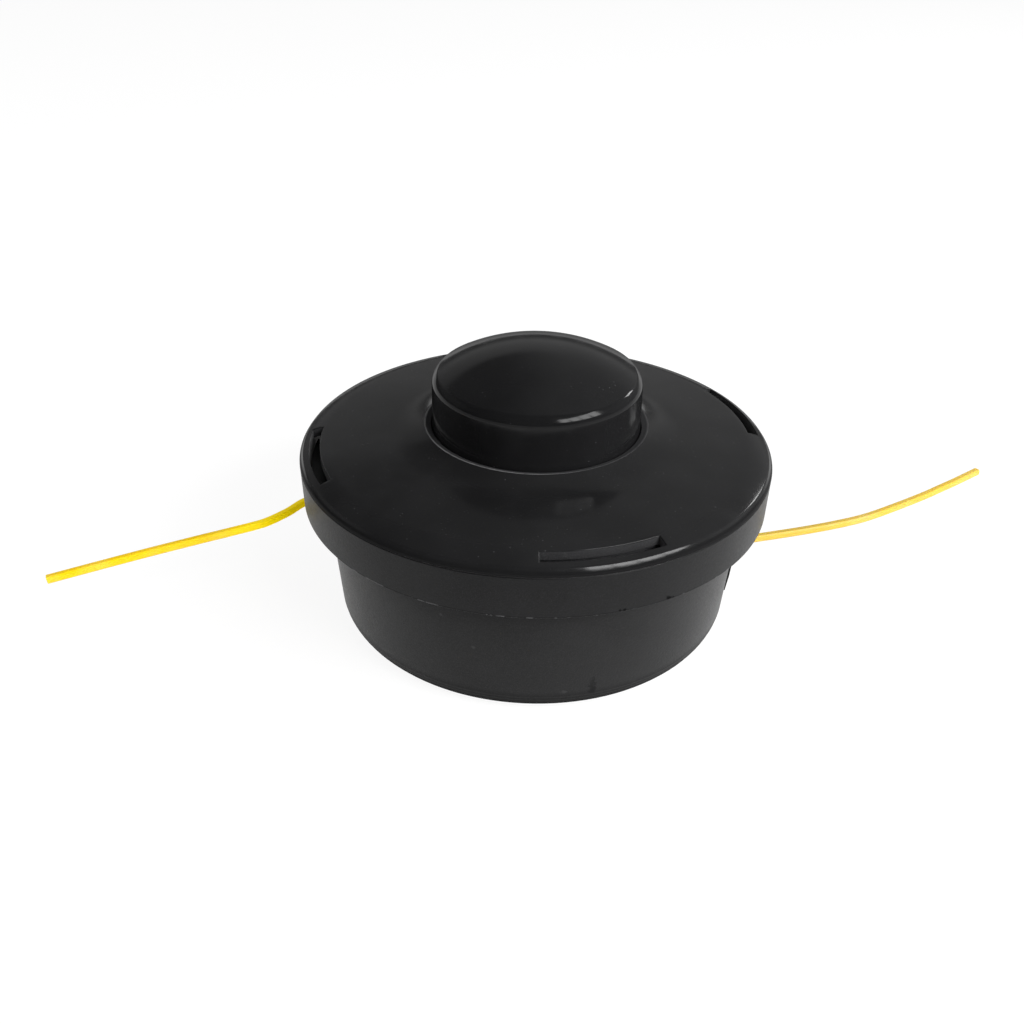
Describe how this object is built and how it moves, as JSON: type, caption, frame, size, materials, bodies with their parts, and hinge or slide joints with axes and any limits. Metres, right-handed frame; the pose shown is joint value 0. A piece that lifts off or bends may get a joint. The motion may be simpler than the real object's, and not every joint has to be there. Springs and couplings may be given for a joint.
{
  "type": "trimmer head",
  "caption": "Bump-feed trimmer head: round housing, bayonet cover with rim windows, domed press knob over a sprung spool, and two lines through side eyelets.",
  "frame": {"origin": "centre of the housing's flat gearbox-side base, on the surface it rests on", "axes": "+Z along the spin axis, from the gearbox side to the bump knob; the eyelets face about +X and -X"},
  "size_m": [0.2707, 0.13, 0.0792],
  "materials": {
    "housing_plastic": "fine-grained black nylon, satin",
    "cover_plastic": "smooth black nylon, semi-gloss",
    "knob_plastic": "polished black nylon, glossy",
    "spool_plastic": "natural white acetal, satin",
    "line_nylon": "extruded yellow nylon monofilament, semi-gloss",
    "zinc_steel": "zinc-plated steel",
    "spring_steel": "drawn spring wire",
    "spindle_alloy": "turned aluminium",
    "washer_nylon": "natural nylon"
  },
  "bodies": {
    "housing": {"housing": "housing_plastic", "arbor_nut": "zinc_steel", "spindle": "spindle_alloy", "spindle_screw_1": "zinc_steel", "spindle_screw_2": "zinc_steel", "spindle_screw_3": "zinc_steel", "spring_seat": "zinc_steel", "spring": "spring_steel", "eyelet_1": "zinc_steel", "eyelet_2": "zinc_steel", "line_1": "line_nylon", "line_2": "line_nylon"},
    "thrust": {"thrust_washer": "washer_nylon"},
    "spool": {"spool": "spool_plastic", "winding_lower": "line_nylon", "winding_upper": "line_nylon", "bump_knob": "knob_plastic", "knob_screw_1": "zinc_steel", "knob_screw_2": "zinc_steel", "knob_screw_3": "zinc_steel"},
    "cover": {"cover": "cover_plastic"}
  },
  "joints": [
    {"name": "knob_press", "type": "slide", "parent": "housing", "child": "thrust", "axis": [0, 0, -1], "range_m": [0, 0.005], "stiffness_N_per_m": 2500, "springref_m": -0.006, "deforming": ["spring"]},
    {"name": "spool_spin", "type": "hinge", "parent": "thrust", "child": "spool", "pos_m": [0, 0, 0.035], "axis": [0, 0, 1], "continuous": true},
    {"name": "cover_turn", "type": "hinge", "parent": "housing", "child": "cover", "pos_m": [0, 0, 0.045], "axis": [0, 0, 1], "range_deg": [0, 54]}
  ]
}
